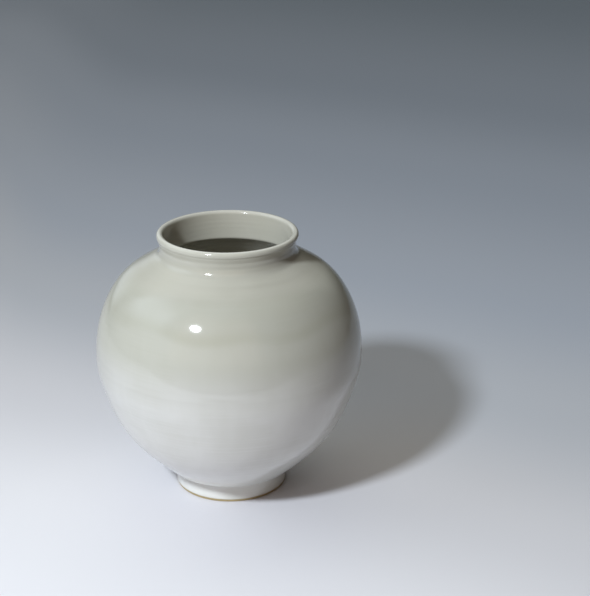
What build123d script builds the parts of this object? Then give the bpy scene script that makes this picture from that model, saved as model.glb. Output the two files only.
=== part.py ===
from build123d import *
import os
from math import atan2, cos, degrees, radians, sin, sqrt

# Korean moon jar, in millimetres. It stands on Z = 0 with the centre of its foot at the origin.
# Its outlines are half sections: X is the distance from the middle and Y is the height.

# Driving dimensions of the glazed jar
belly_diameter = 430.0
jar_height = 434.0
belly_height = 234.0
mouth_diameter = 204.0
neck_height = 40.0
foot_diameter = 182.0
foot_height = 34.0

# Neck and lip
neck_wall = 6.5
neck_turn = 16.0
shoulder_slope = 30.5
collar_seat_drop = 3.0
lip_width = 10.4
lip_undercut = 3.0
inner_neck_round = 5.0

# Underside, foot ring and the well inside it
heel_ledge = 10.0
heel_round = 8.0
heel_slope = 42.0
foot_cove = 2.5
foot_wall = 11.0
foot_edge_round = 1.5
foot_joint_drop = 3.0
bare_band = 4.5
well_gap = 1.0
well_corner = 6.0

# Walls, which are thickest where each bowl stood on the wheel
belly_wall = 8.5
shoulder_wall = 12.0
heel_wall = 12.0
floor_thickness = 13.0

# Glaze, slip and the keyed joint at the belly
glaze_coat = 0.8
slip_layer = 1.5
rim_key = 3.0
seam_coil = 10.0
overrun = 5.0

# Points of the two thrown outlines, as shares of the way out and of the way up
lower_outline_shares = ((0.25, 0.13), (0.535, 0.3), (0.775, 0.52), (0.937, 0.77))
upper_outline_shares = ((0.95, 0.3), (0.765, 0.6), (0.475, 0.82), (0.21, 0.925))
floor_turn_share = 0.12
outline_steps = 8

belly_radius = belly_diameter / 2
mouth_radius = mouth_diameter / 2
foot_radius = foot_diameter / 2
neck_radius = mouth_radius + neck_wall
well_radius = foot_radius - foot_wall
lip_radius = lip_width / 2
inner_belly_radius = belly_radius - glaze_coat - belly_wall
rim_middle_radius = belly_radius - glaze_coat - belly_wall / 2

# Levels of the joints, the shoulder, the floor and the well
shoulder_height = jar_height - neck_height
collar_seat = shoulder_height - collar_seat_drop
foot_joint = foot_height - foot_joint_drop
well_height = foot_height - well_gap
floor_height = well_height + floor_thickness

# Directions up the wall at the heel and at the shoulder
up_heel = Vector(cos(radians(heel_slope)), sin(radians(heel_slope)))
up_shoulder = Vector(-cos(radians(shoulder_slope)), sin(radians(shoulder_slope)))
turn_to_upright = 90 - shoulder_slope
shoulder_setback_share = 1 - sin(radians(shoulder_slope))

# Centres of the rounded lip and of the small hollow under it
lip_centre = Vector(mouth_radius + lip_radius, jar_height - lip_radius)
undercut_reach = lip_radius + lip_undercut
undercut_out = neck_radius + lip_undercut - lip_centre.X
undercut_down = sqrt(undercut_reach**2 - undercut_out**2)
undercut_centre = lip_centre + Vector(undercut_out, -undercut_down)
undercut_angle = degrees(atan2(-undercut_down, undercut_out))

# Ends of the thrown outlines
heel_point = Vector(
    foot_radius + heel_ledge + heel_round * sin(radians(heel_slope)),
    foot_height + heel_round * (1 - cos(radians(heel_slope))),
)
belly_point = Vector(belly_radius, belly_height)
shoulder_point = Vector(neck_radius + neck_turn * shoulder_setback_share, shoulder_height)


def part_way(inner, outer, low, high, shares):
    """Points a share of the way out from inner to outer and of the way up from low to high."""
    return [Vector(inner + out * (outer - inner), low + up * (high - low)) for out, up in shares]


lower_points = part_way(
    heel_point.X, belly_radius, heel_point.Y, belly_height, lower_outline_shares
)
upper_points = part_way(
    shoulder_point.X, belly_radius, belly_height, shoulder_height, upper_outline_shares
)

with BuildLine() as lower_outline:
    Spline(heel_point, *lower_points, belly_point, tangents=[up_heel, (0, 1)])

with BuildLine() as upper_outline:
    Spline(belly_point, *upper_points, shoulder_point, tangents=[(0, 1), up_shoulder])


def inside_of(outline, first_depth, last_depth, first_share=0.0):
    """Draw a curve inside a thrown outline, at a depth that changes evenly along it."""
    points = []
    for step in range(outline_steps + 1):
        done = step / outline_steps
        share = first_share + (1 - first_share) * done
        inward = (outline.line % share).rotate(Axis.Z, 90)
        depth = first_depth + (last_depth - first_depth) * done
        points.append((outline.line @ share) + inward * depth)
    return Spline(*points, tangents=[outline.line % first_share, outline.line % 1])


def draw_outside(depth, base):
    """Draw the outside from a level on the foot to the crest of the lip, at a depth under the glaze."""
    cove = CenterArc(
        (foot_radius + foot_cove, foot_height - foot_cove), foot_cove + depth, 180, -90
    )
    Line((foot_radius - depth, base), cove @ 0)
    bowl = inside_of(lower_outline, depth, depth)
    heel = JernArc(bowl @ 0, up_heel * -1, heel_round - depth, -heel_slope)
    Line(cove @ 1, heel @ 1)
    shoulder = inside_of(upper_outline, depth, depth)
    turn = JernArc(shoulder @ 1, up_shoulder, neck_turn + depth, -turn_to_upright)
    hollow = CenterArc(undercut_centre, lip_undercut + depth, 180, undercut_angle)
    Line(turn @ 1, hollow @ 0)
    CenterArc(lip_centre, lip_radius - depth, undercut_angle, 90 - undercut_angle)


def draw_inside(depth):
    """Draw the inside from the crest of the lip to the middle of the floor, at a depth under the glaze."""
    lip = CenterArc(lip_centre, lip_radius - depth, 90, 90)
    coats = 2 * glaze_coat - depth
    shoulder = inside_of(upper_outline, belly_wall + coats, shoulder_wall + coats)
    corner = inner_neck_round - depth
    corner_radius = mouth_radius + depth + corner * shoulder_setback_share
    run = (corner_radius - (shoulder @ 1).X) / up_shoulder.X
    ceiling = Line(shoulder @ 1, (shoulder @ 1) + up_shoulder * run)
    turn = JernArc(ceiling @ 1, up_shoulder, corner, -turn_to_upright)
    Line(turn @ 1, lip @ 1)
    bowl = inside_of(
        lower_outline, heel_wall + coats, belly_wall + coats, first_share=floor_turn_share
    )
    down = (bowl % 0) * -1
    drop = (bowl @ 0).Y - (floor_height - depth)
    floor = JernArc(bowl @ 0, down, drop / (1 + down.X), -degrees(atan2(-down.Y, -down.X)))
    Line(floor @ 1, (0, floor_height - depth))


def draw_well(depth, base):
    """Draw the well under the floor, from a level inside the ring to the middle."""
    corner = CenterArc(
        (well_radius - well_corner, well_height - well_corner), well_corner + depth, 0, 90
    )
    Line((well_radius + depth, base), corner @ 0)
    Line(corner @ 1, (0, well_height + depth))


coil_place = Location((inner_belly_radius, belly_height))

with BuildSketch() as clay:
    with BuildLine():
        draw_outside(glaze_coat, 0)
        draw_inside(glaze_coat)
        draw_well(glaze_coat, 0)
        Line((well_radius + glaze_coat, 0), (foot_radius - glaze_coat, 0))
        Line((0, well_height + glaze_coat), (0, floor_height - glaze_coat))
    make_face()
    with Locations(coil_place):
        Circle(seam_coil / 2)


def level(height):
    """Points of a level line across the whole jar."""
    return [(0, height), (belly_radius + overrun, height)]


def rim(height):
    """Points of a line across the jar with the V of the keyed rims in the middle of the wall."""
    return [
        (0, height),
        (inner_belly_radius, height),
        (rim_middle_radius, height - rim_key),
        (belly_radius - glaze_coat, height),
        (belly_radius + overrun, height),
    ]


def clay_between(low_line, high_line):
    """Section of the clay between two lines that run across the jar."""
    with BuildSketch() as section:
        add(clay.sketch)
        with BuildLine():
            Polyline(*low_line, *reversed(high_line), close=True)
        make_face(mode=Mode.INTERSECT)
    return section.sketch


foot_bed = level(foot_joint - slip_layer)
lower_rim = rim(belly_height - slip_layer / 2)
upper_rim = rim(belly_height + slip_layer / 2)
neck_bed = level(collar_seat - slip_layer / 2)
collar_base = level(collar_seat + slip_layer / 2)

# Ring foot with a rounded edge that touches the ground
with BuildPart() as foot_ring:
    with BuildSketch(Plane.XZ) as foot_section:
        add(clay_between(level(-overrun), foot_bed))
        fillet(foot_section.vertices().group_by(Axis.Y)[0], foot_edge_round)
    revolve(axis=Axis.Z)

# Slip between the ring and the stub under the bowl
with BuildPart() as foot_seam:
    with BuildSketch(Plane.XZ):
        add(clay_between(foot_bed, level(foot_joint)))
    revolve(axis=Axis.Z)

# Lower bowl with its floor, and a groove in its rim
with BuildPart() as lower_bowl:
    with BuildSketch(Plane.XZ):
        add(clay_between(level(foot_joint), lower_rim))
        with Locations(coil_place):
            Circle(seam_coil / 2, mode=Mode.SUBTRACT)
    revolve(axis=Axis.Z)

# Luting clay between the keyed rims, with the coil pressed in behind them
with BuildPart() as belly_seam:
    with BuildSketch(Plane.XZ):
        add(clay_between(lower_rim, upper_rim))
        with Locations(coil_place):
            Circle(seam_coil / 2)
    revolve(axis=Axis.Z)

# Upper bowl, turned over, with a ridge on its rim and the opening for the neck
with BuildPart() as upper_bowl:
    with BuildSketch(Plane.XZ):
        add(clay_between(upper_rim, neck_bed))
        with Locations(coil_place):
            Circle(seam_coil / 2, mode=Mode.SUBTRACT)
    revolve(axis=Axis.Z)

# Slip under the collar
with BuildPart() as neck_seam:
    with BuildSketch(Plane.XZ):
        add(clay_between(neck_bed, collar_base))
    revolve(axis=Axis.Z)

# Collar that makes the neck and the rounded lip
with BuildPart() as neck_collar:
    with BuildSketch(Plane.XZ):
        add(clay_between(collar_base, level(jar_height + overrun)))
    revolve(axis=Axis.Z)

# Glaze outside, which stops above the bare edge of the foot
with BuildPart() as outer_glaze:
    with BuildSketch(Plane.XZ):
        with BuildLine():
            draw_outside(0, bare_band)
            draw_outside(glaze_coat, bare_band)
            Line((foot_radius, bare_band), (foot_radius - glaze_coat, bare_band))
            Line((lip_centre.X, jar_height), (lip_centre.X, jar_height - glaze_coat))
        make_face()
    revolve(axis=Axis.Z)

# Glaze inside, which covers the coil behind the belly seam
with BuildPart() as inner_glaze:
    with BuildSketch(Plane.XZ):
        with BuildLine():
            draw_inside(0)
            draw_inside(glaze_coat)
            Line((lip_centre.X, jar_height), (lip_centre.X, jar_height - glaze_coat))
            Line((0, floor_height), (0, floor_height - glaze_coat))
        make_face()
        with Locations(coil_place):
            Circle(seam_coil / 2 + glaze_coat)
        add(clay.sketch, mode=Mode.SUBTRACT)
    revolve(axis=Axis.Z)

# Glaze in the well, which stops above the bare edge of the foot
with BuildPart() as foot_well_glaze:
    with BuildSketch(Plane.XZ):
        with BuildLine():
            draw_well(0, bare_band)
            draw_well(glaze_coat, bare_band)
            Line((well_radius, bare_band), (well_radius + glaze_coat, bare_band))
            Line((0, well_height), (0, well_height + glaze_coat))
        make_face()
    revolve(axis=Axis.Z)

pieces = {
    "foot_ring": foot_ring,
    "foot_seam": foot_seam,
    "lower_bowl": lower_bowl,
    "belly_seam": belly_seam,
    "upper_bowl": upper_bowl,
    "neck_seam": neck_seam,
    "neck_collar": neck_collar,
    "outer_glaze": outer_glaze,
    "inner_glaze": inner_glaze,
    "foot_well_glaze": foot_well_glaze,
}

os.makedirs("parts", exist_ok=True)
for name, piece in pieces.items():
    piece.part.label = name
    export_step(piece.part, f"parts/{name}.step")
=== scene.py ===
"""Dresses the moon jar: glazes over thrown clay, a toasted foot ring, and a plain studio around it."""

import logging
import math
from dataclasses import dataclass, field
from enum import Enum

import bmesh
import bpy
from mathutils import Euler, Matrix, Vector, noise


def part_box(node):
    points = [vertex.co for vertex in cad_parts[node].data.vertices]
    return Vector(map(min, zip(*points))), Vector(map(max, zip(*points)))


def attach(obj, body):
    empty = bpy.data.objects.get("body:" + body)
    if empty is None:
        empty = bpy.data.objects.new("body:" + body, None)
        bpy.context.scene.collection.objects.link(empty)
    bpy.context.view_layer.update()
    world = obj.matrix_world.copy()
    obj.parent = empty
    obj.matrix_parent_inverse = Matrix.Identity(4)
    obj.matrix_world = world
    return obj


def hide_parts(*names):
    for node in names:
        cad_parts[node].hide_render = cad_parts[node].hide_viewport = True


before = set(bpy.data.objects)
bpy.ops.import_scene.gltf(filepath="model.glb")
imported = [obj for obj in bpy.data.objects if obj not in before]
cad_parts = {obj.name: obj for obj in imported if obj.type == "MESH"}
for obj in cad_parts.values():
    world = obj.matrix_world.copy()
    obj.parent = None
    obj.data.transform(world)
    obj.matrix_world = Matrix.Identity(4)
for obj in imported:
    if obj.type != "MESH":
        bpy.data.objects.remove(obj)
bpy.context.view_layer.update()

LOG = logging.getLogger("moon_jar")
Colour = tuple[float, float, float]
Place = tuple[float, float, float]
Span = tuple[float, float]

MM = 0.001
COLLAR_SEAT_DROP = 2.25 * MM  # how far the collar reaches down past the height where the neck starts
FLOOR_REACH = 7.0  # from the middle of the floor to its edge
FLOOR_CELLS = 8  # cells along a side of the floor

FULL_TURN = math.tau
HALF_CIRCLE = 180.0
DEGREES_IN_RADIAN = HALF_CIRCLE / math.pi
SOFT_TURN, SOFT_RISE = 8.0, 11.0  # how far the room's lights fade to each side and up, in degrees

WELD = 1e-6  # points nearer than this are one point
HEIGHT_DIGITS = 5  # decimals by which two heights are told apart
MUCH_LONGER = 3.0  # a stretch this many times its neighbour's length sets the direction between them
CORNER = math.radians(32)  # least turn of a corner in a section
SHARP_EDGE = math.radians(50)  # least turn of an edge that is shaded sharp
STROKE = 0.5  # how far a stroke of the sponge takes a point to the middle of its neighbours

NOISE_SPAN = (0.3, 0.7)  # nearly all of a noise texture's values lie in it
NOISE_MIDDLE = 0.5
GLAZE_IOR = 1.53


class Slot(Enum):
    """The record's material slots of the nodes that are replaced."""

    OUTER_GLAZE = "outer_glaze"
    INNER_GLAZE = "inner_glaze"
    FOOT_CLAY = "foot_clay"


class Way(Enum):
    """The side of a clay wall that a coat of glaze lies on."""

    OUTWARD = 1
    INWARD = -1


def smooth_step(low: float, high: float, value: float) -> float:
    """Ease a value from 0 at low to 1 at high.

    Args:
        low: value that gives 0.
        high: value that gives 1.
        value: value to ease.

    Returns:
        A number from 0 to 1.
    """
    share = min(max((value - low) / (high - low), 0.0), 1.0)
    return share * share * (3 - 2 * share)


def hump(centre: float, width: float, value: float) -> float:
    """A smooth hump that is 1 at its centre and near 0 past its width.

    Args:
        centre: value at the top of the hump.
        width: distance at which the hump has fallen to about a third.
        value: value to weigh.

    Returns:
        A number from 0 to 1.
    """
    return math.exp(-(((value - centre) / width) ** 2))


@dataclass(frozen=True)
class Stop:
    """Colour at a place along a line, such as a height on the pot or a depth on the floor.

    Attributes:
        at: the place, in metres.
        colour: the colour.
    """

    at: float
    colour: Colour


class NodeTree:
    """Short calls that fill a shader node tree."""

    def __init__(self, tree: bpy.types.NodeTree) -> None:
        """Keep the tree and empty it.

        Args:
            tree: node tree of a material, a world or a group.
        """
        self.tree = tree
        self.tree.nodes.clear()

    def add(self, kind: str, inputs: dict | None = None, **settings: object) -> bpy.types.Node:
        """Add a node.

        Args:
            kind: node type, such as "ShaderNodeMath".
            inputs: socket name or number to a value, or to a socket that it is linked from.
            **settings: attributes of the node.

        Returns:
            The new node.
        """
        node = self.tree.nodes.new(kind)
        for name, value in settings.items():
            setattr(node, name, value)
        for name, value in (inputs or {}).items():
            if isinstance(value, bpy.types.NodeSocket):
                self.tree.links.new(value, node.inputs[name])
            else:
                node.inputs[name].default_value = value
        return node

    def math(self, operation: str, first: object, second: object = 0.0) -> bpy.types.NodeSocket:
        """Add a math node and give its output.

        Args:
            operation: name of the operation, such as "MULTIPLY".
            first: value or socket.
            second: value or socket.

        Returns:
            The output socket.
        """
        node = self.add("ShaderNodeMath", {0: first, 1: second}, operation=operation)
        return node.outputs[0]

    def group(self, group: bpy.types.NodeTree, inputs: dict) -> bpy.types.Node:
        """Add a shared effect.

        Args:
            group: node group of the effect.
            inputs: input name to value or socket.

        Returns:
            The group's node.
        """
        return self.add("ShaderNodeGroup", inputs, node_tree=group)

    def place(self) -> bpy.types.NodeSocket:
        """Give the place on the surface, in the object's own coordinates."""
        return self.add("ShaderNodeTexCoord").outputs["Object"]

    def split(self, vector: bpy.types.NodeSocket) -> bpy.types.bpy_prop_collection:
        """Give the outputs "X", "Y" and "Z" of a place or a direction."""
        return self.add("ShaderNodeSeparateXYZ", {"Vector": vector}).outputs

    def join(self, x: object, y: object, z: object) -> bpy.types.NodeSocket:
        """Give the place with these three coordinates."""
        return self.add("ShaderNodeCombineXYZ", {"X": x, "Y": y, "Z": z}).outputs[0]

    def noise(self, vector: object, scale: object, detail: float = 2.0) -> bpy.types.NodeSocket:
        """Add a noise texture and give its value.

        Args:
            vector: socket of the place that is read.
            scale: waves for each metre.
            detail: octaves.

        Returns:
            The output socket, from 0 to 1.
        """
        node = self.add("ShaderNodeTexNoise", {"Vector": vector, "Scale": scale, "Detail": detail})
        return node.outputs["Fac"]

    def spread(self, value: object, low: float, high: float, to: Span = (0.0, 1.0)) -> bpy.types.NodeSocket:
        """Add a smooth map from one range to another.

        Args:
            value: socket that is mapped.
            low: value at the start.
            high: value at the end.
            to: what the start and the end give.

        Returns:
            The output socket.
        """
        sockets = {"Value": value, "From Min": low, "From Max": high, "To Min": to[0], "To Max": to[1]}
        node = self.add("ShaderNodeMapRange", sockets, interpolation_type="SMOOTHSTEP")
        return node.outputs["Result"]

    def mix(self, share: object, first: object, second: object) -> bpy.types.NodeSocket:
        """Add a mix of two colours.

        Args:
            share: share of the second colour.
            first: first colour or socket.
            second: second colour or socket.

        Returns:
            The output socket.
        """
        node = self.add("ShaderNodeMix", data_type="RGBA")
        for name, value in {"Factor": share, "A": first, "B": second}.items():
            socket = next(s for s in node.inputs if s.name == name and (s.type == "RGBA" or name == "Factor"))
            if isinstance(value, bpy.types.NodeSocket):
                self.tree.links.new(value, socket)
            elif name == "Factor":
                socket.default_value = value
            else:
                socket.default_value = (*value, 1.0)
        return next(s for s in node.outputs if s.type == "RGBA")

    def ramp(self, value: object, stops: tuple[Stop, ...]) -> bpy.types.NodeSocket:
        """Add a smooth run of colours along a value.

        Args:
            value: socket of the value.
            stops: colours by value, from the lowest up.

        Returns:
            The output socket.
        """
        low, high = stops[0].at, stops[-1].at
        share = self.add("ShaderNodeMapRange", {"Value": value, "From Min": low, "From Max": high})
        node = self.add("ShaderNodeValToRGB", {"Fac": share.outputs["Result"]})
        node.color_ramp.interpolation = "EASE"
        points = node.color_ramp.elements
        ready = len(points)
        for index, stop in enumerate(stops):
            position = (stop.at - low) / (high - low)
            point = points[index] if index < ready else points.new(position)
            point.position = position
            point.color = (*stop.colour, 1.0)
        return node.outputs["Color"]

    def dress(
        self,
        shader: bpy.types.Node,
        colour: bpy.types.NodeSocket,
        rough: bpy.types.NodeSocket,
        relief: bpy.types.NodeSocket,
        depth: float,
    ) -> None:
        """Give a Principled shader its colour, its roughness and its fine relief.

        Args:
            shader: the shader.
            colour: socket of the colour.
            rough: socket of the roughness.
            relief: socket of the relief's height, from 0 to 1.
            depth: depth of the relief, in metres.
        """
        bump = self.add("ShaderNodeBump", {"Height": relief, "Distance": depth, "Strength": 1.0})
        sockets = {"Base Color": colour, "Roughness": rough, "Normal": bump.outputs["Normal"]}
        for name, socket in sockets.items():
            self.tree.links.new(socket, shader.inputs[name])


class EffectGroup:
    """A shader node group with named inputs and outputs, built once and shared by several finishes."""

    def __init__(self, name: str, inputs: dict[str, str], outputs: dict[str, str]) -> None:
        """Make an empty group.

        Args:
            name: name of the group.
            inputs: input name to socket type.
            outputs: output name to socket type.
        """
        self.group = bpy.data.node_groups.new(name, "ShaderNodeTree")
        for side, sockets in (("INPUT", inputs), ("OUTPUT", outputs)):
            for socket_name, kind in sockets.items():
                self.group.interface.new_socket(socket_name, in_out=side, socket_type=kind)
        self.nodes = NodeTree(self.group)
        self.source = self.nodes.add("NodeGroupInput").outputs
        self.sink = self.nodes.add("NodeGroupOutput").inputs

    def give(self, name: str, socket: bpy.types.NodeSocket) -> None:
        """Link a socket to an output of the group.

        Args:
            name: name of the output.
            socket: socket that feeds it.
        """
        self.group.links.new(socket, self.sink[name])


NUMBER = "NodeSocketFloat"
PLACE = "NodeSocketVector"


def cloud_group(squeeze: float = 0.12, streak_span: Span = (0.35, 0.75)) -> bpy.types.NodeTree:
    """Soft clouds and runs, as where a glaze is a little thicker or thinner.

    Args:
        squeeze: how much the height counts in the runs, so that they are drawn out downwards.
        streak_span: values of the noise between which a run comes up.

    Returns:
        A group from a place and two scales to a mask of clouds and a mask of runs.
    """
    inputs = {"Place": PLACE, "Scale": NUMBER, "Streak": NUMBER}
    effect = EffectGroup("glaze_clouds", inputs, {"Mask": NUMBER, "Streaks": NUMBER})
    nodes = effect.nodes
    place, scale = effect.source["Place"], effect.source["Scale"]
    effect.give("Mask", nodes.spread(nodes.noise(place, scale, detail=3.0), *NOISE_SPAN))
    parts = nodes.split(place)
    drawn = nodes.join(parts["X"], parts["Y"], nodes.math("MULTIPLY", parts["Z"], squeeze))
    streak = nodes.noise(drawn, effect.source["Streak"], detail=4.0)
    effect.give("Streaks", nodes.spread(streak, *streak_span))
    return effect.group


def wheel_group(
    squeeze: float = 0.02, patches: float = 9.0, patch_span: Span = (0.35, 0.65), uneven: Span = (0.3, 1.0)
) -> bpy.types.NodeTree:
    """Fine level lines that the wheel leaves, uneven in strength.

    Args:
        squeeze: how much the place across counts, so that the lines run round.
        patches: patches of even strength for each metre.
        patch_span: values of the noise between which the strength comes up.
        uneven: least and most strength.

    Returns:
        A group from a place and a number of lines for each metre to a height from 0 to 1.
    """
    effect = EffectGroup("wheel_lines", {"Place": PLACE, "Lines": NUMBER}, {"Height": NUMBER})
    nodes = effect.nodes
    place = effect.source["Place"]
    parts = nodes.split(place)
    flat_x, flat_y = (nodes.math("MULTIPLY", parts[axis], squeeze) for axis in "XY")
    lines = nodes.noise(nodes.join(flat_x, flat_y, parts["Z"]), effect.source["Lines"], detail=3.0)
    strength = nodes.spread(nodes.noise(place, patches), *patch_span, uneven)
    effect.give("Height", nodes.math("MULTIPLY", lines, strength))
    return effect.group


def grain_group(pit: Span = (0.05, 0.22)) -> bpy.types.NodeTree:
    """Fired grain of bare clay, with fine pits.

    Args:
        pit: where a pit's wall starts and ends, as distances from its middle.

    Returns:
        A group from a place and a scale to a grain value and a mask of pits.
    """
    effect = EffectGroup("clay_grain", {"Place": PLACE, "Scale": NUMBER}, {"Grain": NUMBER, "Pits": NUMBER})
    nodes = effect.nodes
    place, scale = effect.source["Place"], effect.source["Scale"]
    effect.give("Grain", nodes.noise(place, scale, detail=6.0))
    cells = nodes.add("ShaderNodeTexVoronoi", {"Vector": place, "Scale": scale}).outputs["Distance"]
    effect.give("Pits", nodes.spread(cells, *pit, (1.0, 0.0)))
    return effect.group


CLOUDS = cloud_group()
WHEEL = wheel_group()
GRAIN = grain_group()


def new_material(name: str) -> tuple[bpy.types.Material, NodeTree, bpy.types.Node]:
    """Make a material with a Principled shader.

    Args:
        name: name of the material.

    Returns:
        The material, its nodes and the shader.
    """
    material = bpy.data.materials.new(name)
    material.use_nodes = True
    nodes = NodeTree(material.node_tree)
    shader = nodes.add("ShaderNodeBsdfPrincipled")
    out = nodes.add("ShaderNodeOutputMaterial")
    material.node_tree.links.new(shader.outputs["BSDF"], out.inputs["Surface"])
    return material, nodes, shader


@dataclass(frozen=True)
class Wave:
    """One wave of a line that goes up and down round the pot.

    Attributes:
        count: waves in one turn.
        size: how far the line goes up.
        crest: bearing of a crest from the front, in degrees.
    """

    count: int
    size: float
    crest: float


@dataclass(frozen=True)
class GlazeLine:
    """The lower edge of a second pour: a soft band, thickest in its middle.

    Attributes:
        height: middle height of the band.
        waves: how it goes up and down.
        foot: how far down from its middle it starts.
        fade: how far up from its middle it goes.
        share: how far its middle goes towards the thick colour.
        uneven: least and most strength round the pot, as shares of that.
        patches: patches of even strength for each metre.
    """

    height: float
    waves: tuple[Wave, ...]
    foot: float
    fade: float
    share: float
    uneven: Span = (0.55, 1.2)
    patches: float = 7.0


@dataclass(frozen=True)
class GlazeFinish:
    """Glossy porcelain glaze, faintly green where it lies thick.

    Attributes:
        name: name of the material.
        stops: colour by height, from the lowest up.
        thick: colour where it has pooled.
        thin: colour where it is thin, over edges.
        edge_share: how far the edges go towards the thin colour.
        cloud_share: how far the clouds go towards the thick colour.
        streak_share: how far the runs go towards the thick colour.
        ring_share: how far the throwing rings go towards the thick colour.
        cloud_scale: clouds for each metre.
        streak_scale: runs for each metre.
        drift: how far the colours by height go up and down.
        drift_scale: how many times they do so in each metre.
        lines: wheel lines for each metre.
        line_depth: depth of the wheel lines under the glaze.
        ring_levels: heights of the wheel lines between which the thick colour comes up.
        skin_scale: ripples of the glaze's own skin for each metre.
        skin_share: their depth as a share of the wheel lines'.
        line: lower edge of a second pour, or nothing.
        thin_levels: heights between which the glaze thins out, upwards, or nothing.
        bare_levels: heights between which the glaze thins out, downwards, or nothing.
        roughness: least and most roughness.
    """

    name: str
    stops: tuple[Stop, ...]
    thick: Colour
    thin: Colour
    edge_share: float = 0.75
    cloud_share: float = 0.09
    streak_share: float = 0.07
    ring_share: float = 0.08
    cloud_scale: float = 9.0
    streak_scale: float = 34.0
    drift: float = 0.004
    drift_scale: float = 4.0
    lines: float = 260.0
    line_depth: float = 0.000012
    ring_levels: Span = (0.25, 0.55)
    skin_scale: float = 45.0
    skin_share: float = 0.6
    line: GlazeLine | None = None
    thin_levels: Span | None = None
    bare_levels: Span | None = (0.0075, 0.0045)
    roughness: Span = (0.05, 0.1)

    def build(self) -> bpy.types.Material:
        """Build the material.

        Returns:
            The material.
        """
        material, nodes, shader = new_material(self.name)
        place = nodes.place()
        height = nodes.split(place)["Z"]
        clouds = nodes.group(CLOUDS, {"Place": place, "Scale": self.cloud_scale, "Streak": self.streak_scale})
        wheel = nodes.group(WHEEL, {"Place": place, "Lines": self.lines})
        colour = self.colour_by_height(nodes, place, height)
        for mask, share in (
            (clouds.outputs["Mask"], self.cloud_share),
            (clouds.outputs["Streaks"], self.streak_share),
            (nodes.spread(wheel.outputs["Height"], *self.ring_levels), self.ring_share),
        ):
            colour = nodes.mix(nodes.math("MULTIPLY", mask, share), colour, self.thick)
        if self.line:
            colour = self.add_line(nodes, place, height, colour)
        for levels in filter(None, (self.thin_levels, self.bare_levels)):
            edge = nodes.math("MULTIPLY", nodes.spread(height, *levels), self.edge_share)
            colour = nodes.mix(edge, colour, self.thin)
        rough = nodes.spread(clouds.outputs["Mask"], 0.0, 1.0, self.roughness)
        skin = nodes.math("MULTIPLY", nodes.noise(place, self.skin_scale), self.skin_share)
        relief = nodes.math("ADD", wheel.outputs["Height"], skin)
        nodes.dress(shader, colour, rough, relief, self.line_depth)
        shader.inputs["IOR"].default_value = GLAZE_IOR
        return material

    def colour_by_height(
        self, nodes: NodeTree, place: bpy.types.NodeSocket, height: bpy.types.NodeSocket
    ) -> bpy.types.NodeSocket:
        """Colour that changes with height, on levels that drift a little.

        Args:
            nodes: nodes of the material.
            place: place on the surface.
            height: height on the surface.

        Returns:
            The colour.
        """
        drift = nodes.math("SUBTRACT", nodes.noise(place, self.drift_scale, detail=1.5), NOISE_MIDDLE)
        level = nodes.math("ADD", height, nodes.math("MULTIPLY", drift, 2 * self.drift))
        return nodes.ramp(level, self.stops)

    def add_line(
        self,
        nodes: NodeTree,
        place: bpy.types.NodeSocket,
        height: bpy.types.NodeSocket,
        colour: bpy.types.NodeSocket,
    ) -> bpy.types.NodeSocket:
        """Lay the soft, waved band where a second pour ended.

        Args:
            nodes: nodes of the material.
            place: place on the surface.
            height: height on the surface.
            colour: colour so far.

        Returns:
            The tinted colour.
        """
        parts = nodes.split(place)
        bearing = nodes.math("ARCTAN2", parts["X"], nodes.math("MULTIPLY", parts["Y"], -1.0))
        level = nodes.math("SUBTRACT", height, self.line.height)
        for wave in self.line.waves:
            turned = nodes.math("SUBTRACT", bearing, math.radians(wave.crest))
            swing = nodes.math("COSINE", nodes.math("MULTIPLY", turned, wave.count))
            level = nodes.math("SUBTRACT", level, nodes.math("MULTIPLY", swing, wave.size))
        start = nodes.spread(level, -self.line.foot, 0.0)
        end = nodes.spread(level, 0.0, self.line.fade, (1.0, 0.0))
        weak, strong = (share * self.line.share for share in self.line.uneven)
        strength = nodes.spread(nodes.noise(place, self.line.patches), *NOISE_SPAN, (weak, strong))
        mask = nodes.math("MULTIPLY", nodes.math("MULTIPLY", start, end), strength)
        return nodes.mix(mask, colour, self.thick)


@dataclass(frozen=True)
class ClayFinish:
    """Fired clay without glaze.

    Attributes:
        name: name of the material.
        colour: colour of the clay.
        toasted: colour where the fire has toasted it.
        toast: heights between which the toast fades out, upwards.
        patches: patches in the toast's edge for each metre.
        patch_rise: how far that edge goes up and down.
        pit_shade: how dark a pit is against the toasted colour.
        pit_share: how far the pits go towards that.
        grain: grains for each metre.
        roughness: least and most roughness.
        depth: depth of the grain.
    """

    name: str
    colour: Colour
    toasted: Colour
    toast: Span = (0.0, 0.001)
    patches: float = 28.0
    patch_rise: float = 0.004
    pit_shade: float = 0.55
    pit_share: float = 0.35
    grain: float = 700.0
    roughness: Span = (0.6, 0.85)
    depth: float = 0.00015

    def build(self) -> bpy.types.Material:
        """Build the material.

        Returns:
            The material.
        """
        material, nodes, shader = new_material(self.name)
        place = nodes.place()
        grain = nodes.group(GRAIN, {"Place": place, "Scale": self.grain}).outputs
        patch = nodes.math("SUBTRACT", nodes.noise(place, self.patches), NOISE_MIDDLE)
        level = nodes.math("ADD", nodes.split(place)["Z"], nodes.math("MULTIPLY", patch, self.patch_rise))
        toast = nodes.spread(level, *self.toast, (1.0, 0.0))
        colour = nodes.mix(toast, self.colour, self.toasted)
        speckled = tuple(self.pit_shade * channel for channel in self.toasted)
        colour = nodes.mix(nodes.math("MULTIPLY", grain["Pits"], self.pit_share), colour, speckled)
        rough = nodes.spread(grain["Grain"], *NOISE_SPAN, self.roughness)
        relief = nodes.math("SUBTRACT", grain["Grain"], grain["Pits"])
        nodes.dress(shader, colour, rough, relief, self.depth)
        return material


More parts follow.
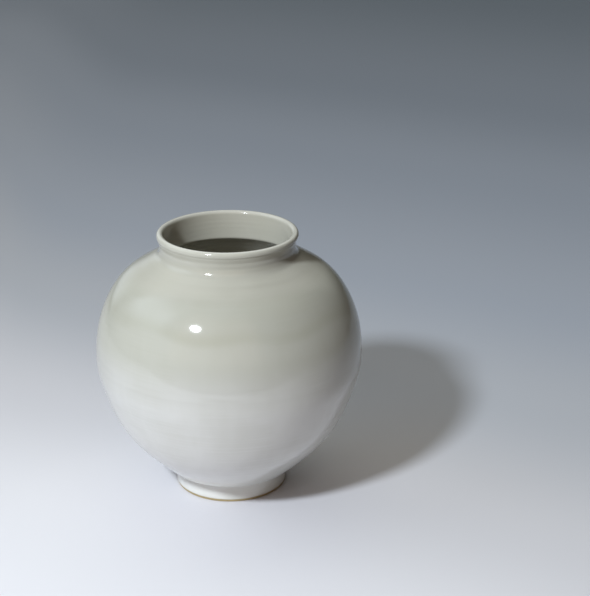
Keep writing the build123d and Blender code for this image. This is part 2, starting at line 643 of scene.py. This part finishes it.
def seam_edges(mesh: bmesh.types.BMesh) -> list[bmesh.types.BMEdge]:
    """Edges of a round piece that lie on its half section, in the XZ plane on the +X side.

    Args:
        mesh: merged mesh of the piece.

    Returns:
        The edges.
    """
    return [
        edge
        for edge in mesh.edges
        if all(abs(v.co.y) < WELD and v.co.x > -WELD for v in edge.verts)
    ]


def half_section(node: str) -> list[Vector]:
    """Read the half section of a round CAD node, in order along it.

    Args:
        node: name of the CAD node.

    Returns:
        Points from one end to the other, or round a closed section from its lowest point.
    """
    mesh = bmesh.new()
    mesh.from_mesh(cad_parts[node].data)
    bmesh.ops.remove_doubles(mesh, verts=mesh.verts, dist=WELD)
    neighbours: dict[int, list[int]] = {}
    for edge in seam_edges(mesh):
        one, other = (v.index for v in edge.verts)
        neighbours.setdefault(one, []).append(other)
        neighbours.setdefault(other, []).append(one)
    mesh.verts.ensure_lookup_table()
    places = {index: mesh.verts[index].co.copy() for index in neighbours}
    mesh.free()
    ends = [index for index, near in neighbours.items() if len(near) == 1]
    start = min(ends or places, key=lambda index: (round(places[index].z, HEIGHT_DIGITS), -places[index].x))
    order, last = [start], None
    while True:
        onward = [n for n in neighbours[order[-1]] if n != last and n != start]
        if not onward:
            break
        if len(order) == 1:
            onward.sort(key=lambda index: -places[index].z)
        last = order[-1]
        order.append(onward[0])
    return [places[index] for index in order]


def is_corner(before: Vector, here: Vector, after: Vector) -> bool:
    """Tell whether a line turns sharply at a point, from the points before and after it."""
    return (here - before).angle(after - here) > CORNER


@dataclass
class Skin:
    """A smooth stretch of a half section, such as the outside or the inside of a coat.

    Attributes:
        points: points along it.
        step: longest step between points once it is filled in.
    """

    points: list[Vector]
    step: float

    def filled(self) -> list[Vector]:
        """Fill in the line between its points on a smooth curve.

        Returns:
            Points no further apart than the step.
        """
        points = self.points
        count = len(points)
        tangents = []
        for index, here in enumerate(points):
            before = points[max(index - 1, 0)]
            after = points[min(index + 1, count - 1)]
            corner = 0 < index < count - 1 and is_corner(before, here, after)
            tangents.append(None if corner else self.tangent(before, here, after))
        line = [points[0]]
        for index in range(count - 1):
            here, there = points[index], points[index + 1]
            span = (there - here).length
            straight = (there - here) / span
            leave = tangents[index] or straight
            arrive = tangents[index + 1] or straight
            parts = max(1, math.ceil(span / self.step))
            for part in range(1, parts + 1):
                line.append(self.between(here, there, leave * span, arrive * span, part / parts))
        return line

    @staticmethod
    def tangent(before: Vector, here: Vector, after: Vector) -> Vector:
        """Direction of the line at a point.

        It lies along a neighbour that is much longer, or else on the circle through the three points.

        Args:
            before: point before it.
            here: the point.
            after: point after it.

        Returns:
            A unit vector.
        """
        back, on = here - before, after - here
        if back.length > MUCH_LONGER * on.length:
            return back.normalized()
        if on.length > MUCH_LONGER * back.length:
            return on.normalized()
        return (back / back.length_squared + on / on.length_squared).normalized()

    @staticmethod
    def between(here: Vector, there: Vector, leave: Vector, arrive: Vector, share: float) -> Vector:
        """Point of a cubic between two points with given slopes.

        Args:
            here: start.
            there: end.
            leave: slope at the start.
            arrive: slope at the end.
            share: how far along, from 0 to 1.

        Returns:
            The point.
        """
        squared, cubed = share**2, share**3
        return (
            here * (2 * cubed - 3 * squared + 1)
            + leave * (cubed - 2 * squared + share)
            + there * (3 * squared - 2 * cubed)
            + arrive * (cubed - squared)
        )


def split_at_corners(points: list[Vector], closed: bool, step: float) -> list[Skin]:
    """Cut a section at its sharp corners.

    Args:
        points: points of the section, in order.
        closed: whether the section closes on itself.
        step: longest step of the skins.

    Returns:
        The smooth stretches, in order.
    """
    ring = [*points, points[0]] if closed else points
    marks = [0]
    for index in range(1, len(ring) - 1):
        if is_corner(ring[index - 1], ring[index], ring[index + 1]):
            marks.append(index)
    marks.append(len(ring) - 1)
    return [Skin(ring[first : last + 1], step) for first, last in zip(marks, marks[1:])]


@dataclass(frozen=True)
class ThrowingMarks:
    """What the hands leave in a thrown wall: a spiral of finger marks and a gentle unevenness.

    Attributes:
        pitch: rise of the spiral in one turn.
        depth: depth of the finger marks.
        low: height below which they fade out.
        high: height above which they fade out.
        fade: distance over which they fade.
        swell: height of the broad unevenness.
        swell_scale: swells for each metre.
        drift_across: drifts of the marks for each metre across.
        drift_up: drifts of the marks for each metre up.
        wander: how far a drift takes the spiral off its pitch, in radians.
        strength: mean strength of a mark.
        change: how much a drift changes the strength.
        swell_start: where the swells are read from.
    """

    pitch: float
    depth: float
    low: float
    high: float
    fade: float
    swell: float = 0.0
    swell_scale: float = 12.0
    drift_across: float = 6.0
    drift_up: float = 26.0
    wander: float = 2.2
    strength: float = 0.55
    change: float = 0.9
    swell_start: Place = (3.1, 7.7, 1.9)

    def at(self, place: Vector) -> float:
        """How far the surface stands out at a place.

        Args:
            place: place on the surface.

        Returns:
            Distance outwards, in metres.
        """
        share = smooth_step(self.low, self.low + self.fade, place.z)
        share *= 1 - smooth_step(self.high - self.fade, self.high, place.z)
        if share == 0.0:
            return 0.0
        turn = math.atan2(place.y, place.x) / FULL_TURN
        phase = (place.z / self.pitch + turn) * FULL_TURN
        across, up = self.drift_across, self.drift_up
        drift = noise.noise(Vector((place.x * across, place.y * across, place.z * up)))
        finger = math.sin(phase + self.wander * drift) * (self.strength + self.change * drift)
        broad = noise.noise(place * self.swell_scale + Vector(self.swell_start))
        return share * (self.depth * finger + self.swell * broad)


@dataclass(frozen=True)
class Ridge:
    """A level ridge or groove that runs round the pot.

    Attributes:
        height: height of its middle.
        width: half width.
        depth: how far it stands out, or in if negative.
        wander: how far it goes up and down.
        crest: bearing from the front where it is strongest, in degrees.
        swing: how much weaker it is on the other side.
        drifts: how often it goes up and down, for each metre across.
        drift_step: how far apart the drifts of ridges at different heights are read.
        patches: patches of even strength for each metre across.
        strength: mean strength.
        change: how much a patch changes the strength.
        patch_level: where the patches are read from.
    """

    height: float
    width: float
    depth: float
    wander: float = 0.0
    crest: float = 0.0
    swing: float = 0.0
    drifts: float = 9.0
    drift_step: float = 40.0
    patches: float = 7.0
    strength: float = 0.7
    change: float = 0.6
    patch_level: float = 5.3

    def at(self, place: Vector) -> float:
        """How far the surface stands out at a place.

        Args:
            place: place on the surface.

        Returns:
            Distance outwards, in metres.
        """
        level = self.height * self.drift_step
        drift = noise.noise(Vector((place.x * self.drifts, place.y * self.drifts, level)))
        patch = noise.noise(Vector((place.x * self.patches, place.y * self.patches, self.patch_level)))
        strength = self.strength + self.change * patch
        bearing = math.atan2(place.x, -place.y)
        strength *= 1 + self.swing * math.cos(bearing - math.radians(self.crest))
        middle = self.height + self.wander * drift
        return self.depth * strength * hump(middle, self.width, place.z)


@dataclass
class RoundPiece:
    """A piece turned from the half section of its CAD node, with the marks of the hand on its skin.

    Attributes:
        node: CAD node that it replaces.
        slot: material slot; not used.
        finish: finish of the piece.
        way: side of the wall that its open skin faces.
        step: longest step along the open skin.
        back_step: longest step along the side that lies on the wall.
        turns: faces round the pot.
        marks: finger marks and ridges of the open skin.
        soft_ends: distance from the skin's ends over which the marks fade in.
        sponged: heights between which a wet sponge has softened the skin, or nothing.
        strokes: strokes of the sponge.
    """

    node: str
    slot: Slot
    finish: GlazeFinish | ClayFinish
    way: Way
    step: float = 0.0024
    back_step: float = 0.014
    turns: int = 256
    marks: list[ThrowingMarks | Ridge] = field(default_factory=list)
    soft_ends: float = 0.004
    sponged: Span | None = None
    strokes: int = 18

    def sections(self) -> tuple[list[Vector], list[Vector]]:
        """Split the CAD section into the open skin and what lies on the wall.

        Returns:
            Points of the open skin and points of the rest, each in order.
        """
        points = half_section(self.node)
        closed = points[0].x > WELD
        skins = split_at_corners(points, closed, self.step)
        open_skin = max(skins, key=self.openness)
        rest = [skin for skin in skins if skin is not open_skin]
        for skin in rest:
            skin.step = self.back_step
        place = skins.index(open_skin)
        after = skins[place + 1 :] + skins[:place] if closed else skins[place + 1 :]
        shown = open_skin.filled()
        back = [shown[-1]]
        for skin in after:
            back += skin.filled()[1:]
        if not closed and place:
            before = [shown[0]]
            for skin in reversed(skins[:place]):
                before += list(reversed(skin.filled()))[1:]
            back = before if len(back) == 1 else back
        return shown, back

    def openness(self, skin: Skin) -> float:
        """Length of a skin, counted up a little for the one that faces away from the wall.

        Args:
            skin: stretch of the section.

        Returns:
            A length by which the open skin is the longest.
        """
        length = sum((b - a).length for a, b in zip(skin.points, skin.points[1:]))
        reach = sum(p.x for p in skin.points) / len(skin.points)
        return length * (1 + self.way.value * reach)

    def build(self) -> bpy.types.Object:
        """Turn the section, press the marks into its open skin and dress it.

        Returns:
            The finished piece.
        """
        mesh = bmesh.new()
        weight = mesh.verts.layers.float.new("open_skin")
        bmesh.ops.spin(
            mesh,
            geom=self.draw_chain(mesh, *self.sections(), weight),
            cent=(0.0, 0.0, 0.0),
            axis=(0.0, 0.0, 1.0),
            angle=FULL_TURN,
            steps=self.turns,
            use_merge=True,
        )
        bmesh.ops.remove_doubles(mesh, verts=mesh.verts, dist=WELD)
        bmesh.ops.recalc_face_normals(mesh, faces=mesh.faces)
        self.press_marks(mesh, weight)
        for face in mesh.faces:
            face.smooth = True
        name = f"{self.node}_dressed"
        data = bpy.data.meshes.new(name)
        mesh.to_mesh(data)
        mesh.free()
        piece = bpy.data.objects.new(name, data)
        bpy.context.scene.collection.objects.link(piece)
        data.materials.append(self.finish.build())
        data.set_sharp_from_angle(angle=SHARP_EDGE)
        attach(piece, "root")
        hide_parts(self.node)
        LOG.info("%s: %d faces", piece.name, len(data.polygons))
        return piece

    def press_marks(self, mesh: bmesh.types.BMesh, weight: bmesh.types.BMLayerItem) -> None:
        """Press the marks into the open skin, and wipe it with the sponge where it was sponged.

        Args:
            mesh: mesh of the piece.
            weight: layer that holds how much the marks show.
        """
        mesh.normal_update()
        moves = {
            vert: vert.normal * (vert[weight] * sum(mark.at(vert.co) for mark in self.marks))
            for vert in mesh.verts
            if vert[weight] > 0.0
        }
        for vert, move in moves.items():
            vert.co += move
        if self.sponged:
            low, high = self.sponged
            soft = [vert for vert in moves if low < vert.co.z < high]
            for _ in range(self.strokes):
                bmesh.ops.smooth_vert(
                    mesh, verts=soft, factor=STROKE, use_axis_x=True, use_axis_y=True, use_axis_z=True
                )

    def draw_chain(
        self,
        mesh: bmesh.types.BMesh,
        shown: list[Vector],
        back: list[Vector],
        weight: bmesh.types.BMLayerItem,
    ) -> list[bmesh.types.BMVert | bmesh.types.BMEdge]:
        """Draw the section as a chain of edges, with the weight of the marks at each point.

        Args:
            mesh: mesh to draw in.
            shown: points of the open skin.
            back: points of the rest, from the end of the open skin.
            weight: layer that holds how much the marks show.

        Returns:
            The vertices and edges.
        """
        along = [0.0]
        for here, there in zip(shown, shown[1:]):
            along.append(along[-1] + (there - here).length)
        verts = []
        for point, distance in zip(shown, along):
            vert = mesh.verts.new(point)
            to_end = along[-1] - distance
            vert[weight] = min(self.end_share(shown[0], distance), self.end_share(shown[-1], to_end))
            verts.append(vert)
        tail = back[1:]
        closed = (back[-1] - shown[0]).length < WELD
        if closed:
            tail = tail[:-1]
        verts += [mesh.verts.new(point) for point in tail]
        edges = [mesh.edges.new(pair) for pair in zip(verts, verts[1:])]
        if closed:
            edges.append(mesh.edges.new((verts[-1], verts[0])))
        return [*verts, *edges]

    def end_share(self, end: Vector, distance: float) -> float:
        """How much the marks show at a distance from an end of the skin.

        Args:
            end: the end, which needs no fade where it lies on the axis.
            distance: distance from it.

        Returns:
            A share from 0 to 1.
        """
        return 1.0 if end.x < WELD else smooth_step(0.0, self.soft_ends, distance)


@dataclass
class Clay:
    """The fired clay and slip that lie under the glaze and keep their CAD shapes.

    Attributes:
        body: finish of the thrown pieces.
        slip: finish of the joining slip.
    """

    body: ClayFinish = ClayFinish("fired_porcelain", (0.68, 0.64, 0.55), (0.62, 0.53, 0.4))
    slip: ClayFinish = ClayFinish("joining_slip", (0.7, 0.66, 0.57), (0.62, 0.55, 0.43), grain=900.0)

    def build(self) -> None:
        """Dress the hidden CAD nodes."""
        body, slip = self.body.build(), self.slip.build()
        dressing = {
            "lower_bowl": body,
            "upper_bowl": body,
            "neck_collar": body,
            "belly_seam": slip,
            "neck_seam": slip,
            "foot_seam": slip,
        }
        for name, material in dressing.items():
            for material_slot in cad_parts[name].material_slots:
                material_slot.material = material
            LOG.info("%s: %s", name, material.name)


@dataclass
class Foot:
    """The foot: the clay ring with its bare edge, and the glaze in the well inside it.

    Attributes:
        clay: finish of the ring.
        glaze: finish in the well.
    """

    clay: ClayFinish = ClayFinish(
        "toasted_foot", (0.7, 0.63, 0.5), (0.41, 0.32, 0.17), toast=(0.0035, 0.006), depth=0.0002
    )
    glaze: GlazeFinish = GlazeFinish(
        "well_glaze",
        stops=(Stop(0.004, (0.62, 0.62, 0.57)), Stop(0.033, (0.66, 0.67, 0.65))),
        thick=(0.5, 0.53, 0.44),
        thin=(0.6, 0.5, 0.34),
    )

    def build(self) -> list[bpy.types.Object]:
        """Build the ring and the glaze of the well.

        Returns:
            The pieces.
        """
        ring = RoundPiece(
            "foot_ring",
            Slot.FOOT_CLAY,
            self.clay,
            Way.OUTWARD,
            step=0.001,
            back_step=0.003,
        )
        rings = ThrowingMarks(
            pitch=0.006,
            depth=0.00012,
            low=-0.01,
            high=0.2,
            fade=0.004,
            swell=0.0002,
            swell_scale=20.0,
        )
        well = RoundPiece(
            "foot_well_glaze",
            Slot.INNER_GLAZE,
            self.glaze,
            Way.INWARD,
            step=0.002,
            marks=[rings],
        )
        return [ring.build(), well.build()]


@dataclass
class Body:
    """The glazed outside and inside of the jar.

    Attributes:
        belly: height of the seam between the two bowls.
        shoulder: height where the neck starts.
        top: height of the lip.
        pour_drop: how far below the shoulder the second pour ended.
        hollow_drop: how far below the top the hollow under the lip lies.
        wiped: how far below the top the sponge started and ended.
        heel_lines: heights of the two fine lines above the foot.
        neck_lines: how far above the shoulder the two fine grooves of the neck lie.
    """

    belly: float
    shoulder: float
    top: float
    pour_drop: float = 0.068
    hollow_drop: float = 0.011
    wiped: Span = (0.017, 0.0075)
    heel_lines: Span = (0.0335, 0.0375)
    neck_lines: Span = (0.0135, 0.0205)

    def outer_finish(self) -> GlazeFinish:
        """Finish of the outside: lighter below, faintly green and darker over the shoulder; this change with
        height is partly the glaze's own tone and partly painted light and shade.

        Returns:
            The finish.
        """
        pour = GlazeLine(
            height=self.shoulder - self.pour_drop,
            waves=(Wave(1, 0.003, -75.0), Wave(3, 0.002, -50.0), Wave(8, 0.0035, 10.0)),
            foot=0.013,
            fade=0.017,
            share=0.3,
        )
        return GlazeFinish(
            "porcelain_glaze",
            # colour by height, partly the glaze's own greener tone and partly painted light and shade:
            # lighter towards the foot, darker over the shoulder
            stops=(
                Stop(0.05, (0.78, 0.78, 0.755)),
                Stop(0.09, (0.73, 0.725, 0.705)),
                Stop(self.belly - 0.04, (0.69, 0.685, 0.665)),
                Stop(self.belly, (0.58, 0.573, 0.545)),
                Stop(self.belly + 0.056, (0.5, 0.495, 0.442)),
                Stop(self.shoulder - 0.034, (0.443, 0.438, 0.385)),
                Stop(self.shoulder - 0.015, (0.445, 0.433, 0.382)),
                Stop(self.top, (0.505, 0.493, 0.435)),
            ),
            thick=(0.37, 0.36, 0.28),
            thin=(0.62, 0.61, 0.56),
            line=pour,
            thin_levels=(self.top - 0.0012, self.top + 0.001),
        )

    def inner_finish(self) -> GlazeFinish:
        """Finish of the inside.

        Returns:
            The finish.
        """
        return GlazeFinish(
            "inner_porcelain_glaze",
            stops=(
                Stop(0.04, (0.66, 0.65, 0.6)),
                Stop(self.shoulder - 0.044, (0.62, 0.605, 0.545)),
                Stop(self.shoulder + 0.001, (0.46, 0.45, 0.395)),
                Stop(self.top, (0.49, 0.475, 0.415)),
            ),
            thick=(0.38, 0.37, 0.3),
            thin=(0.52, 0.51, 0.46),
            thin_levels=(self.top - 0.004, self.top),
            bare_levels=None,
        )

    def build(self) -> list[bpy.types.Object]:
        """Build both coats.

        Returns:
            The pieces.
        """
        wall = ThrowingMarks(
            pitch=0.019,
            depth=0.00002,
            low=0.05,
            high=self.shoulder,
            fade=0.02,
            swell=0.00045,
            swell_scale=7.0,
        )
        neck = ThrowingMarks(
            pitch=0.0052,
            depth=0.00024,
            low=self.shoulder + 0.004,
            high=self.top - self.hollow_drop,
            fade=0.004,
            swell=0.0003,
            swell_scale=20.0,
        )
        joint = [
            Ridge(self.belly - 0.002, width=0.0022, depth=0.00018, wander=0.003),
            Ridge(self.belly + 0.006, width=0.004, depth=-0.00015, wander=0.003),
        ]
        collar_edge = Ridge(self.shoulder - 0.007, width=0.0025, depth=0.0002, wander=0.0015)
        under_lip = Ridge(self.top - self.hollow_drop, width=0.0033, depth=0.0025, crest=-60.0, swing=0.25)
        heel = [
            Ridge(height, width=0.0011, depth=-0.0005, crest=10.0, swing=0.4) for height in self.heel_lines
        ]
        low, high = (self.shoulder + rise for rise in self.neck_lines)
        grooves = [
            Ridge(low, width=0.0016, depth=-0.0004, wander=0.001, crest=50.0, swing=0.6),
            Ridge(high, width=0.0014, depth=-0.00035, wander=0.001, crest=40.0, swing=0.6),
        ]
        outside = RoundPiece(
            "outer_glaze",
            Slot.OUTER_GLAZE,
            self.outer_finish(),
            Way.OUTWARD,
            marks=[wall, neck, *joint, collar_edge, under_lip, *heel, *grooves],
            sponged=tuple(self.top - drop for drop in self.wiped),
        )
        inner_wall = ThrowingMarks(
            pitch=0.015,
            depth=0.0004,
            low=0.06,
            high=self.shoulder - 0.012,
            fade=0.02,
            swell=0.0005,
            swell_scale=10.0,
        )
        inner_neck = ThrowingMarks(
            pitch=0.0085, depth=0.0001, low=self.shoulder - 0.006, high=self.top - 0.008, fade=0.006
        )
        inside = RoundPiece(
            "inner_glaze",
            Slot.INNER_GLAZE,
            self.inner_finish(),
            Way.INWARD,
            marks=[inner_wall, inner_neck],
        )
        return [outside.build(), inside.build()]


@dataclass(frozen=True)
class RoomPatch:
    """A softly lit part of the room, seen from the jar.

    Attributes:
        turns: where it starts and ends, in degrees from straight behind the jar to the right.
        rises: where it starts and ends, in degrees above the floor.
        colour: its colour and strength.
        soft: how far its edges fade to each side, round and up, in degrees.
    """

    turns: Span
    rises: Span
    colour: Colour
    soft: Span = (SOFT_TURN, SOFT_RISE)


@dataclass
class Studio:
    """A pale floor with painted light falloff, one key light, the softly lit parts of the room, and the
    camera.

    Attributes:
        paper: left, right and front edge of the pale floor.
        paper_soft: how far its side edges and its front edge fade.
        paper_tint_and_painted_falloff: its colours by depth: bluer with distance, and darker with distance as
            painted falloff of the key light.
        paper_roughness: its roughness.
        beyond: colour of the floor around the paper.
        painted_falloff_slant: how much deeper the floor counts for each metre to the right, so that the
            painted falloff darkens it to the right.
        painted_left_light: how much less deep it counts where it is far to the left, so that painted light
            brightens it there.
        painted_left_light_span: places to the left between which that painted light fades out.
        key_at: place of the key light.
        key_size: width and height of the key light.
        key_target: place that it points at.
        key_power: power of the key light, in watts.
        key_colour: colour of the key light.
        room: lit parts of the room.
        overhead: light from overhead.
        overhead_from: rise at which it starts, in degrees.
        dim: light of the rest of the room.
        camera_at: place of the camera.
        camera_tilt: tilt of the camera from straight down, in degrees.
        lens: focal length, in millimetres.
        sensor: longer side of the sensor, in millimetres.
    """

    paper: tuple[float, float, float] = (-2.3, 1.9, -0.86)
    paper_soft: Span = (0.06, 0.04)
    # the paper's colour by depth: bluer with distance, and darker with distance as painted falloff of the key
    # light
    paper_tint_and_painted_falloff: tuple[Stop, ...] = (
        Stop(-0.3, (0.755, 0.745, 0.79)),
        Stop(0.1, (0.665, 0.66, 0.71)),
        Stop(0.6, (0.515, 0.537, 0.6)),
        Stop(1.2, (0.435, 0.478, 0.572)),
        Stop(2.2, (0.365, 0.416, 0.52)),
        Stop(3.2, (0.28, 0.33, 0.427)),
        Stop(5.7, (0.165, 0.215, 0.293)),
    )
    paper_roughness: float = 0.5
    beyond: Colour = (0.03, 0.03, 0.033)
    # painted light: the floor darkens to the right as painted falloff of the key light
    painted_falloff_slant: float = 0.6
    # painted light: far to the left the paper counts nearer, so it is lighter there
    painted_left_light: float = 1.0
    painted_left_light_span: Span = (-1.1, -0.45)
    key_at: Place = (-1.135, -1.782, 2.087)
    key_size: Span = (0.38, 0.27)
    key_target: Place = (0.0, 0.0, 0.25)
    key_power: float = 80.0
    key_colour: Colour = (0.865, 0.945, 1.0)
    room: tuple[RoomPatch, ...] = (
        RoomPatch((-46.0, -18.0), (-4.0, 16.0), (0.75, 0.8, 0.85)),
        RoomPatch((-60.0, 44.0), (38.0, 80.0), (0.88, 0.9, 0.8), (14.0, 12.0)),
        RoomPatch((-48.0, 46.0), (14.0, 38.0), (0.32, 0.33, 0.3)),
        RoomPatch((-112.0, -62.0), (22.0, 50.0), (0.95, 1.1, 1.25)),
        RoomPatch((150.0, 232.0), (5.0, 60.0), (0.38, 0.26, 0.15)),
    )
    overhead: Colour = (0.12, 0.12, 0.12)
    overhead_from: float = 50.0
    dim: Colour = (0.01, 0.01, 0.01)
    camera_at: Place = (0.1064, -2.2177, 1.1664)
    camera_tilt: float = 69.11
    lens: float = 89.33
    sensor: float = 36.0

    def build(self) -> None:
        """Build the studio."""
        self.build_floor()
        self.build_key()
        self.build_world()
        self.build_camera()
        bpy.context.scene.view_settings.view_transform = "Standard"

    def build_floor(self) -> None:
        """Lay the pale paper on a dark floor: bluer with distance, with painted light falloff that darkens it
        with distance and to the right, and painted light that brightens it far to the left.
        """
        mesh = bmesh.new()
        bmesh.ops.create_grid(mesh, x_segments=FLOOR_CELLS, y_segments=FLOOR_CELLS, size=FLOOR_REACH)
        data = bpy.data.meshes.new("studio_floor")
        mesh.to_mesh(data)
        mesh.free()
        floor = bpy.data.objects.new("studio_floor", data)
        bpy.context.scene.collection.objects.link(floor)
        material, nodes, shader = new_material("pale_paper")
        parts = nodes.split(nodes.place())
        (left, right, front), (side_soft, front_soft) = self.paper, self.paper_soft
        share = self.ease(nodes, parts["Y"], front, front_soft)
        for edge, soft in ((left, side_soft), (right, -side_soft)):
            share = nodes.math("MULTIPLY", share, self.ease(nodes, parts["X"], edge, soft))
        # painted light: far to the left the paper counts nearer, so it is lighter there
        lift = nodes.spread(parts["X"], *self.painted_left_light_span, (self.painted_left_light, 0.0))
        # painted falloff: the paper's colour darkens with depth and to the right
        depth = nodes.math("ADD", parts["Y"], nodes.math("MULTIPLY", parts["X"], self.painted_falloff_slant))
        paper = nodes.ramp(nodes.math("SUBTRACT", depth, lift), self.paper_tint_and_painted_falloff)
        colour = nodes.mix(share, self.beyond, paper)
        nodes.tree.links.new(colour, shader.inputs["Base Color"])
        shader.inputs["Roughness"].default_value = self.paper_roughness
        data.materials.append(material)

    def build_key(self) -> None:
        """Hang the key light, pointing at the jar."""
        data = bpy.data.lights.new("key_light", "AREA")
        data.shape = "ELLIPSE"
        data.size, data.size_y = self.key_size
        data.energy = self.key_power
        data.color = self.key_colour
        light = bpy.data.objects.new("key_light", data)
        light.location = self.key_at
        aim = Vector(self.key_target) - light.location
        light.rotation_euler = aim.to_track_quat("-Z", "Y").to_euler()
        bpy.context.scene.collection.objects.link(light)

    def build_world(self) -> None:
        """Light the room: a dim room with its lit parts."""
        world = bpy.data.worlds.new("studio_room")
        bpy.context.scene.world = world
        world.use_nodes = True
        nodes = NodeTree(world.node_tree)
        parts = nodes.split(nodes.add("ShaderNodeTexCoord").outputs["Generated"])
        turn = nodes.math("MULTIPLY", nodes.math("ARCTAN2", parts["X"], parts["Y"]), DEGREES_IN_RADIAN)
        rise = nodes.math("MULTIPLY", nodes.math("ARCSINE", parts["Z"]), DEGREES_IN_RADIAN)
        above = {0: self.overhead, "Scale": self.ease(nodes, rise, self.overhead_from, SOFT_RISE)}
        glow = nodes.add("ShaderNodeVectorMath", above, operation="SCALE").outputs[0]
        total = nodes.add("ShaderNodeVectorMath", {0: glow, 1: self.dim}, operation="ADD").outputs[0]
        for patch in self.room:
            (start, end), (low, high), (side, up) = patch.turns, patch.rises, patch.soft
            around = nodes.math("WRAP", turn, end + HALF_CIRCLE)
            around.node.inputs[2].default_value = end - HALF_CIRCLE
            window = self.ease(nodes, around, start, side)
            for value, edge, soft in ((around, end, -side), (rise, low, up), (rise, high, -up)):
                window = nodes.math("MULTIPLY", window, self.ease(nodes, value, edge, soft))
            scaled = {0: patch.colour, "Scale": window}
            glow = nodes.add("ShaderNodeVectorMath", scaled, operation="SCALE").outputs[0]
            total = nodes.add("ShaderNodeVectorMath", {0: glow, 1: total}, operation="ADD").outputs[0]
        shade = nodes.add("ShaderNodeBackground", {"Color": total})
        out = nodes.add("ShaderNodeOutputWorld")
        world.node_tree.links.new(shade.outputs["Background"], out.inputs["Surface"])

    @staticmethod
    def ease(nodes: NodeTree, value: bpy.types.NodeSocket, at: float, soft: float) -> bpy.types.NodeSocket:
        """Ease from 0 to 1 as a value passes a place, or from 1 to 0 where soft is negative.

        Args:
            nodes: nodes of the floor or the world.
            value: the value.
            at: the place.
            soft: how far from the place the ease starts and ends.

        Returns:
            The output socket.
        """
        to = (0.0, 1.0) if soft > 0 else (1.0, 0.0)
        return nodes.spread(value, at - abs(soft), at + abs(soft), to)

    def build_camera(self) -> None:
        """Place the camera."""
        data = bpy.data.cameras.new("camera")
        data.lens = self.lens
        data.sensor_width = self.sensor
        camera = bpy.data.objects.new("camera", data)
        camera.location = self.camera_at
        camera.rotation_euler = Euler((math.radians(self.camera_tilt), 0.0, 0.0))
        bpy.context.scene.collection.objects.link(camera)
        bpy.context.scene.camera = camera


def main() -> None:
    """Build the jar and the studio."""
    logging.basicConfig(level=logging.INFO, format="%(name)s: %(message)s")
    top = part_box("neck_collar")[1].z
    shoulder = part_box("neck_collar")[0].z + COLLAR_SEAT_DROP
    seam_low, seam_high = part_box("belly_seam")
    belly = (seam_low.z + seam_high.z) / 2
    Clay().build()
    Foot().build()
    Body(belly=belly, shoulder=shoulder, top=top).build()
    Studio().build()


if __name__ == "__main__":
    main()
